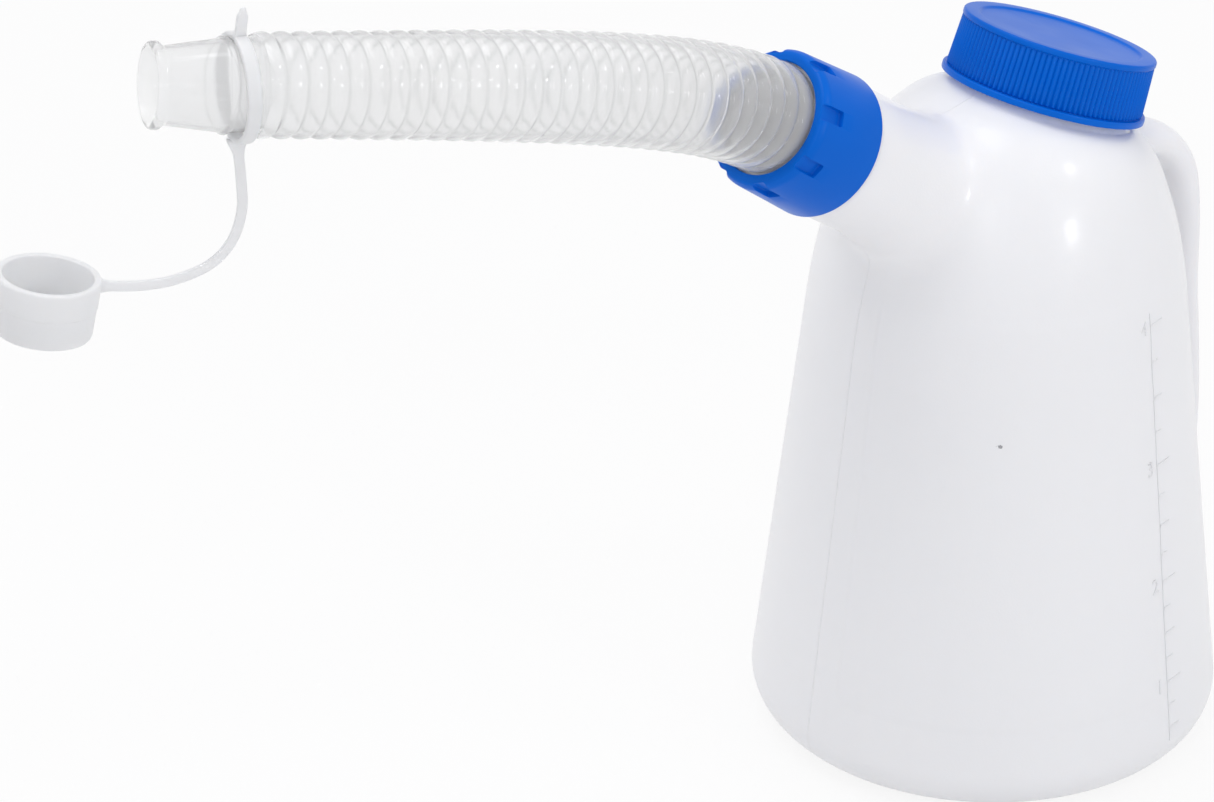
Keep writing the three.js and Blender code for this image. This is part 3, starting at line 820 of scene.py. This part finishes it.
def flask_shell():
    """Body, handle and spout root as one skin with eased joins, then hollowed."""
    flask = body_form("flask_shell", 128)
    cut(flask, hand_recess())
    join(flask, handle_tube(), spout_root())
    remesh = flask.modifiers.new("one_skin", "REMESH")
    remesh.mode = "VOXEL"
    remesh.voxel_size = 0.0019
    finish_modifiers(flask)
    mark_soft_zones(flask)
    for group, rounds in (("eased", 14), ("root", 60)):
        soften = flask.modifiers.new("soften_" + group, "SMOOTH")
        soften.factor = 0.5
        soften.iterations = rounds
        soften.vertex_group = group
    true_form = body_form("true_form", 320)
    keep = flask.modifiers.new("keep", "SHRINKWRAP")
    keep.target = true_form
    keep.wrap_method = "NEAREST_SURFACEPOINT"
    keep.vertex_group = "true"
    finish_modifiers(flask)
    bpy.data.objects.remove(true_form, do_unlink=True)
    cut(flask, cut(body_hollow(), hand_recess(FLASK_WALL)))
    bore = [(0, -70), (SPOUT_BORE, -70), (SPOUT_BORE, -22), (SPOUT_BORE, 4), (0, 4)]
    cut(flask, set_on_spout(spin_profile("spout_bore", bore, 64)))
    smooth(flask, 50)
    return flask


def thread(name, radius, height, turns, depth, outward=True):
    """A screw ridge: a small wedge turned round +Z while it climbs."""
    sunk, half_foot, half_crest = 0.5, 1.3, 0.4
    out = 1.0 if outward else -1.0
    foot, top = radius - out * sunk, radius + out * depth
    wedge = [
        (foot, height - half_foot), (top, height - half_crest),
        (top, height + half_crest), (foot, height + half_foot),
    ]
    ridge = draw_profile(name, wedge)
    bpy.ops.mesh.select_all(action="SELECT")
    bpy.ops.mesh.edge_face_add()
    bpy.ops.mesh.delete(type="ONLY_FACE")
    screw = ridge.modifiers.new("screw", "SCREW")
    screw.axis = "Z"
    screw.angle = 2 * math.pi * turns
    screw.screw_offset = THREAD_LEAD * turns * MM
    screw.steps = screw.render_steps = int(72 * turns)
    screw.use_merge_vertices = False
    finish_modifiers(ridge)
    bpy.ops.object.mode_set(mode="EDIT")
    bpy.ops.mesh.select_all(action="SELECT")
    bpy.ops.mesh.fill_holes(sides=6)
    bpy.ops.mesh.normals_make_consistent(inside=False)
    bpy.ops.object.mode_set(mode="OBJECT")
    return ridge


def filler_neck():
    """The threaded neck under the lid."""
    rim = 20.0  # above the lid's lower edge
    line = eased([
        (FILLER_BORE, -6), (FILLER_BORE, rim, 0.5), (FILLER_RADIUS, rim, 0.5),
        (FILLER_RADIUS, -1.4, 0.8), (FILLER_RADIUS + 1.6, -3.4), (FILLER_RADIUS - 0.6, -6),
        (FILLER_BORE, -6),
    ])
    neck = spin_profile("threaded_filler", line, 96)
    join(neck, thread("filler_thread", FILLER_RADIUS - 0.4, 4.5, 1.6, 0.75))
    smooth(neck)
    return set_on_filler(neck)


def spout_neck():
    """The threaded neck under the union nut."""
    rim = 25.1  # in front of the nut's back
    line = eased([
        (SPOUT_BORE, -5), (SPOUT_BORE, rim, 0.5), (SPOUT_NECK_RADIUS, rim, 0.5),
        (SPOUT_NECK_RADIUS, -0.2, 0.8), (26.0, -0.9), (23.0, -5), (SPOUT_BORE, -5),
    ])
    neck = spin_profile("threaded_spout_neck", line, 80)
    join(neck, thread("spout_thread", SPOUT_NECK_RADIUS - 0.4, 6.0, 2.2, 0.75))
    smooth(neck)
    return set_on_spout(neck)


# Scale on the flask

SCALE_ANGLE = math.radians(-80.0)


def level_of(litres, slice_height=0.1):
    """Height of the liquid for a volume, from the hollow's own profile."""
    filled, height = 0.0, FLASK_WALL
    while filled < litres * 1e6 and height < 240:
        height += slice_height
        if height < HEEL_RADIUS:
            drop = HEEL_RADIUS - height
            reach = HEEL_RADIUS - FLASK_WALL
            radius = BASE_RADIUS - HEEL_RADIUS + math.sqrt(max(reach ** 2 - drop ** 2, 0.0))
        else:
            radius = side_radius(min(height, SHOULDER_START)) - FLASK_WALL
        filled += math.pi * radius ** 2 * slice_height
    return height


def bar_mark(name, columns, rows, width, height, place):
    """A flat bar with enough faces to follow the flask's curve."""
    let_go()
    bpy.ops.mesh.primitive_grid_add(x_subdivisions=columns, y_subdivisions=rows, size=1.0)
    bar = name_piece(name)
    bar.scale = (width * MM, height * MM, 1.0)
    return set_down(bar, place=place)


def raised_scale(flask):
    """Ticks every quarter litre and plain numbers, raised a little from the wall."""
    number_size, margin, thickness, proud = 9.0, 6.0, 0.7, 0.28
    clear = 96.0  # a radius outside the wall, from where the scale is pressed onto it
    marks = []
    for quarter in range(2, 17):
        height = level_of(quarter / 4)
        long = 10.0 if quarter % 4 == 0 else (7.0 if quarter % 2 == 0 else 4.5)
        marks.append(bar_mark("tick", 10, 2, long, 0.8, (long / 2, height, 0.0)))
        if quarter % 4 == 0:
            let_go()
            bpy.ops.object.text_add()
            number = bpy.context.object
            number.data.body = str(quarter // 4)
            number.data.size = number_size * MM
            number.data.align_x = "CENTER"
            number.data.resolution_u = 6
            bpy.ops.object.convert(target="MESH")
            marks.append(set_down(name_piece("number"), place=(-5.0, height - 3.1, 0.0)))
    low, high = level_of(0.5) - margin, level_of(4.0) + margin
    rule = bar_mark("scale_rule", 2, 80, 0.7, high - low, (0.0, (low + high) / 2, 0.0))
    scale = join(rule, *marks)
    scale.name = scale.data.name = "raised_scale"
    set_down(scale, (math.pi / 2, 0.0, SCALE_ANGLE + math.pi / 2), (
        clear * math.cos(SCALE_ANGLE), clear * math.sin(SCALE_ANGLE), 0.0
    ))
    wrap = scale.modifiers.new("wrap", "SHRINKWRAP")
    wrap.target = flask
    wrap.wrap_method = "NEAREST_SURFACEPOINT"
    wrap.wrap_mode = "OUTSIDE_SURFACE"
    wrap.offset = proud * MM
    finish_modifiers(scale)
    thick = scale.modifiers.new("thick", "SOLIDIFY")
    thick.thickness = thickness * MM
    thick.offset = -1.0
    finish_modifiers(scale)
    smooth(scale)
    return scale


# Lid

def ribbed_lid():
    """The lid: a spun shell whose side is pulled out into fine ribs."""
    steps = RIBS * 4
    flange, low, ceiling, top = 40.0, 2.6, 22.2, 24.6
    bore = FILLER_RADIUS + 0.5
    rim = LID_ROOT + RIB_DEPTH - LID_DRAFT * ceiling + 0.25

    def side(height):
        return LID_ROOT - LID_DRAFT * height

    line = eased([
        (0, ceiling), (bore, ceiling, 0.8), (bore, 0.0, 0.3), (flange, 0.0, 0.5), (flange, low, 0.7),
        (side(low), low, 0.2), (side(3.2), 3.2), (side(12.0), 12.0), (side(21.6), 21.6),
        (rim - 0.5, ceiling, 0.2), (rim, ceiling + 0.3, 0.2), (rim, top, 1.6),
        (32.2, top, 0.5), (31.2, top - 0.8, 0.6), (0, top - 0.8),
    ])
    lid = spin_profile("ribbed_lid", line, steps)

    def on_rib(place, phase):
        turn = round(math.atan2(place.y, place.x) / (2 * math.pi) * steps) % 4
        outside = abs(math.hypot(place.x, place.y) - side(place.z)) < 0.3
        return 2.9 < place.z < 21.9 and outside and turn in phase

    for pull, phase in ((RIB_DEPTH, (0,)), (0.62, (1, 3))):
        pick_points(lid, lambda place: on_rib(place, phase))
        grow = (LID_ROOT + pull) / LID_ROOT
        bpy.ops.transform.resize(value=(grow, grow, 1.0), center_override=(0, 0, 0))
    bpy.ops.object.mode_set(mode="OBJECT")
    join(lid, thread("lid_thread", bore + 0.3, 4.0, 1.6, 0.7, outward=False))
    smooth(lid, 40)
    return set_on_filler(lid)


# Union nut

def union_nut():
    """The nut: a spun sleeve with an inner flange, and pockets in its front edge."""
    inside, hole, inner_face = 24.1, 21.7, 30.0
    line = eased([
        (inside, 0.0, 0.3), (28.06, 0.0, 0.8), (27.4, 16.0), (26.9, 30.0, 1.0), (25.6, 32.2, 0.9),
        (24.3, NUT_LENGTH, 0.5), (hole, NUT_LENGTH, 0.6), (hole, inner_face, 0.3),
        (inside, inner_face, 0.3), (inside, 0.0),
    ])
    nut = spin_profile("pocketed_nut", line, 160)
    pockets, first, block, depth, length, tail = 8, -20, 6.0, 2.0, 11.5, 4.5
    out = NUT_FRONT_RADIUS - depth + block / 2
    for index in range(pockets):
        turn = math.radians(first + 360 / pockets * index)
        let_go()
        bpy.ops.mesh.primitive_cube_add(size=1.0)
        pocket = name_piece("pocket")
        pocket.scale = (block * MM, block * MM, length * MM)
        round_edges(set_down(pocket), 0.7, 3)
        place = (-out * math.cos(turn), -out * math.sin(turn), NUT_LENGTH - tail)
        cut(nut, set_down(pocket, (0.0, 0.0, math.pi + turn), place))
    round_edges(nut, 0.35, 2, 40)
    join(nut, thread("nut_thread", inside + 0.3, 5.5, 2.2, 0.6, outward=False))
    smooth(nut, 30)
    return set_on_spout(nut)


# Flexible spout

# A corrugation from valley to valley: how far below the crest, and how far along from its middle
CREST_SHAPE = (
    (0.98, -2.9), (0.52, -2.35), (0.13, -1.3), (-0.05, 0.0), (0.13, 1.3), (0.52, 2.35), (0.98, 2.9),
)
VALLEY_SHAPE = ((1.4, 3.3), (1.5, 3.61), (1.4, 3.92))


def crest(along):
    return CREST_RADIUS - CREST_TAPER * max(along, 0.0)


def flexible_spout():
    """The hose: flange, corrugations and nozzle, spun as one wall and laid along its line."""
    line, run = hose_line()
    crests = [FIRST_CREST + i * PITCH for i in range(CORRUGATIONS)]
    flange, tail, bore_wall = SPOUT_NECK_RADIUS, -5.4, 1.15
    wall = eased([(flange, tail), (flange, -2.9, 0.4), (HOSE_ROOT, -2.9, 0.4), (HOSE_ROOT, -1.4)])
    for middle in crests:
        shape = CREST_SHAPE if middle == crests[-1] else CREST_SHAPE + VALLEY_SHAPE
        wall += [(crest(middle) - below, middle + along) for below, along in shape]
    groove = crests[-1] + PITCH / 2
    end = groove + GROOVE_WIDTH
    rim = run - 4.0
    wall += eased([
        (crest(groove) - 0.6, groove - 1.0), (GROOVE_RADIUS, groove - 0.1, 0.4),
        (GROOVE_RADIUS, end, 0.3), (16.7, end + 0.5, 0.4), (16.7, end + 1.7, 0.4),
        (GROOVE_RADIUS, end + 2.6, 0.5), (13.3, rim - 0.8, 0.8), (NOZZLE_RIM, rim + 0.6, 0.9),
        (NOZZLE_RIM, run - 0.6, 0.9), (13.4, run, 0.5), (12.3, run - 0.5, 0.3),
        (12.0, run - 5, 1.0), (14.5, end + 2, 1.0), (14.5, groove - 1.8),
    ])
    for middle in reversed(crests):
        bore = crest(middle) - bore_wall
        if middle != crests[-1]:
            wall += [(bore - 1.3, middle + 3.61), (bore - 0.15, middle + 2.2), (bore, middle)]
        wall += [(bore - 0.15, middle - 2.2)]
    wall += [(18.9, -1.6), (18.9, tail), (flange, tail)]
    hose = spin_profile("corrugated_spout", wall, 64)
    lead = 8.0  # of straight line behind the nut's front, for the flange
    set_down(hose, place=(0.0, 0.0, lead))
    bend_onto(hose, [HOSE_START - SPOUT_AXIS * lead] + line)
    smooth(hose, 60)
    return hose


# Tether and nozzle cap

LOOP_BORE = GROOVE_RADIUS + LOOP_PLAY
LOOP_RADIUS = LOOP_BORE + LOOP_THICKNESS
LOOP_FOOT = LOOP_RADIUS - 1.0  # inside the loop's wall, where strap and tab start


def set_on_loop(piece, turn=(0.0, 0.0, 0.0), place=(0.0, 0.0, 0.0)):
    """Puts a piece drawn round the loop's centre into its place on the nozzle."""
    set_down(piece, turn, place)
    return set_down(piece, (0.0, 0.0, LOOP_YAW), LOOP_POINT)


def loop_drop():
    """How far the loop hangs down until its top is a seat gap from the groove."""
    skew = NOZZLE_CLIMB - LOOP_CLIMB
    top = GROOVE_RADIUS / math.cos(skew) + LOOP_HALF_WIDTH * math.tan(skew)
    return LOOP_BORE - top - SEAT_GAP


def tether_loop():
    half = LOOP_HALF_WIDTH
    line = eased([
        (LOOP_BORE, -0.1), (LOOP_BORE, -half, 0.6), (LOOP_RADIUS, -half, 0.8),
        (LOOP_RADIUS, half, 0.8), (LOOP_BORE, half, 0.6), (LOOP_BORE, -0.1),
    ])
    loop = spin_profile("tether_loop", line, 72)
    drop = loop_drop()
    smooth(loop)
    return set_on_loop(loop, (0.0, math.pi / 2 - LOOP_CLIMB, 0.0), (
        drop * math.sin(LOOP_CLIMB), 0.0, -drop * math.cos(LOOP_CLIMB)
    ))


def strip(name, width, thickness, line, rings, flares):
    """A soft-edged strip laid along a line. A flare is (share of its run, width, thickness)."""
    run = length_of(line)
    let_go()
    bpy.ops.mesh.primitive_cube_add(size=1.0)
    piece = name_piece(name)
    piece.scale = (thickness * MM, width * MM, run * MM)
    set_down(piece, place=(0.0, 0.0, run / 2))
    slice_up(piece, run, rings)
    for share, wider, thicker in flares:
        ring = round(share * rings) / rings * run
        pick_points(piece, lambda place: abs(place.z - ring) < 0.01)
        bpy.ops.transform.resize(value=(thicker, wider, 1.0), center_override=(0, 0, ring * MM))
    bpy.ops.object.mode_set(mode="OBJECT")
    round_edges(piece, 0.42, 3, 50)
    bend_onto(piece, line)
    smooth(piece, 50)
    return set_on_loop(piece)


def tether_strap():
    rings = 60
    hang = loop_drop() + LOOP_FOOT
    side = CAP_RIM[0] - (NOZZLE_RIM + CAP_CLEARANCE + 1.2)
    knots = [
        (hang * math.sin(LOOP_CLIMB), -hang * math.cos(LOOP_CLIMB)), (0.4, -34), (0.6, -47),
        (4.5, -57.5), (12, -64.6), (25, -68.3), (38, -68.2), (side, -65.4),
    ]
    line = through([(x, 0.0, z) for x, z in knots], 10)
    flares = [(ring / rings, wider, thicker) for ring, wider, thicker in (
        (0, 2.0, 1.5), (1, 1.9, 1.5), (2, 1.6, 1.4), (3, 1.3, 1.2), (4, 1.1, 1.05),
        (58, 1.1, 1.2), (59, 1.3, 1.5), (60, 1.5, 1.8),
    )]
    return strip("tether_strap", 3.6, 1.6, line, rings, flares)


def pull_tab():
    height, lean = 10.7, 1.8
    foot = LOOP_FOOT - loop_drop()
    start = -foot * math.sin(LOOP_CLIMB)
    line = [(start - lean * share, 0.0, foot + height * share) for share in (0.0, 0.5, 1.0)]
    flares = ((0.0, 1.5, 1.7), (0.1, 1.15, 1.35), (0.2, 1.0, 1.15), (0.8, 0.74, 0.8),
              (0.9, 0.62, 0.7), (1.0, 0.36, 0.5))
    return strip("pull_tab", 3.8, 1.8, line, 10, flares)


def nozzle_cap():
    """The cap: an open cup with a ring inside its floor that plugs the nozzle's mouth."""
    inner, outer, draft = NOZZLE_RIM + CAP_CLEARANCE, 18.15, 0.06
    low, floor, plug = outer - draft * CAP_HEIGHT, -18.8, -13.8
    line = eased([
        (0, -CAP_HEIGHT), (low - 3, -CAP_HEIGHT), (low, -CAP_HEIGHT, 2.8), (low + 0.55, -10.2, 0.2),
        (low + 0.85, -9.9, 0.2), (outer, -0.8, 0.4), (outer - 0.4, 0, 0.7), (inner, 0, 0.7),
        (inner, floor, 0.8), (11.9, floor, 0.5), (11.9, plug, 0.5), (10.6, plug, 0.5),
        (10.6, floor, 0.5), (0, floor),
    ])
    cap = spin_profile("nozzle_cap", line, 96)
    smooth(cap)
    return set_on_loop(cap, (0.0, -CAP_TILT, 0.0), (CAP_RIM[0], 0.0, CAP_RIM[1]))


# Assembly

bpy.context.scene.view_settings.view_transform = "Standard"
photo_camera()
pale_floor()
studio_light()

milky = flask_finish()
blue = simple_finish(
    "vivid_blue", (0.0, 0.136, 0.670, 1), (0.0, 0.120, 0.600, 1), 0.27,
    drift=12.0, grain=1900.0, waves=60.0, wave_share=0.4, bump=0.10, depth=0.0005, rubs=0.2,
    Specular_IOR_Level=0.12, IOR=1.45,
)
clear = simple_finish(
    "clear_spout", (0.998, 0.999, 1.0, 1), (0.992, 0.995, 1.0, 1), 0.20,
    drift=16.0, grain=1500.0, waves=120.0, wave_share=0.6, bump=0.10, depth=0.0005, rubs=0.15,
    uneven=0.06, Transmission_Weight=0.80, IOR=1.16, Coat_Weight=0.6, Coat_Roughness=0.08,
)
hazy = simple_finish(
    "hazy_tether", (0.985, 0.990, 1.0, 1), (0.970, 0.978, 0.992, 1), 0.28,
    drift=30.0, grain=1700.0, waves=90.0, wave_share=0.5, bump=0.14, depth=0.0004,
    Subsurface_Weight=0.5, Subsurface_Scale=0.005, Subsurface_Radius=(1.0, 0.95, 0.9),
    Transmission_Weight=0.2, IOR=1.4,
)
rubber = simple_finish(
    "seal_grey", (0.600, 0.610, 0.630, 1), (0.520, 0.530, 0.550, 1), 0.62,
    drift=60.0, grain=2600.0, waves=200.0, wave_share=0.3, bump=0.3, depth=0.0003,
)

shell = flask_shell()
scale = raised_scale(shell)
moulding = (
    "flask_floor", "flask_heel", "flask_side", "hand_recess", "flask_shoulder", "filler_dome",
    "spout_root", "handle", "filler_neck", "spout_neck",
)
for piece, stands_for in (
    (shell, moulding), (filler_neck(), ("filler_neck",)), (spout_neck(), ("spout_neck",)),
    (scale, ("flask_side",)),
):
    wear(piece, milky)
    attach(piece, "flask")
    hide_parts(*stands_for)

lid = ribbed_lid()
wear(lid, blue)
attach(lid, "lid")
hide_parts("lid")

nut = union_nut()
wear(nut, blue)
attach(nut, "union_nut")
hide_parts("union_nut")

hose = flexible_spout()
wear(hose, clear)
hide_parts("flexible_spout")
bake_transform(hose)

for piece in (tether_loop(), tether_strap(), pull_tab(), nozzle_cap()):
    wear(piece, hazy)
    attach(piece, "tethered_cap")
    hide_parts("tethered_cap")

for name in ("lid_liner", "spout_seal"):
    wear(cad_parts[name], rubber)

let_go()
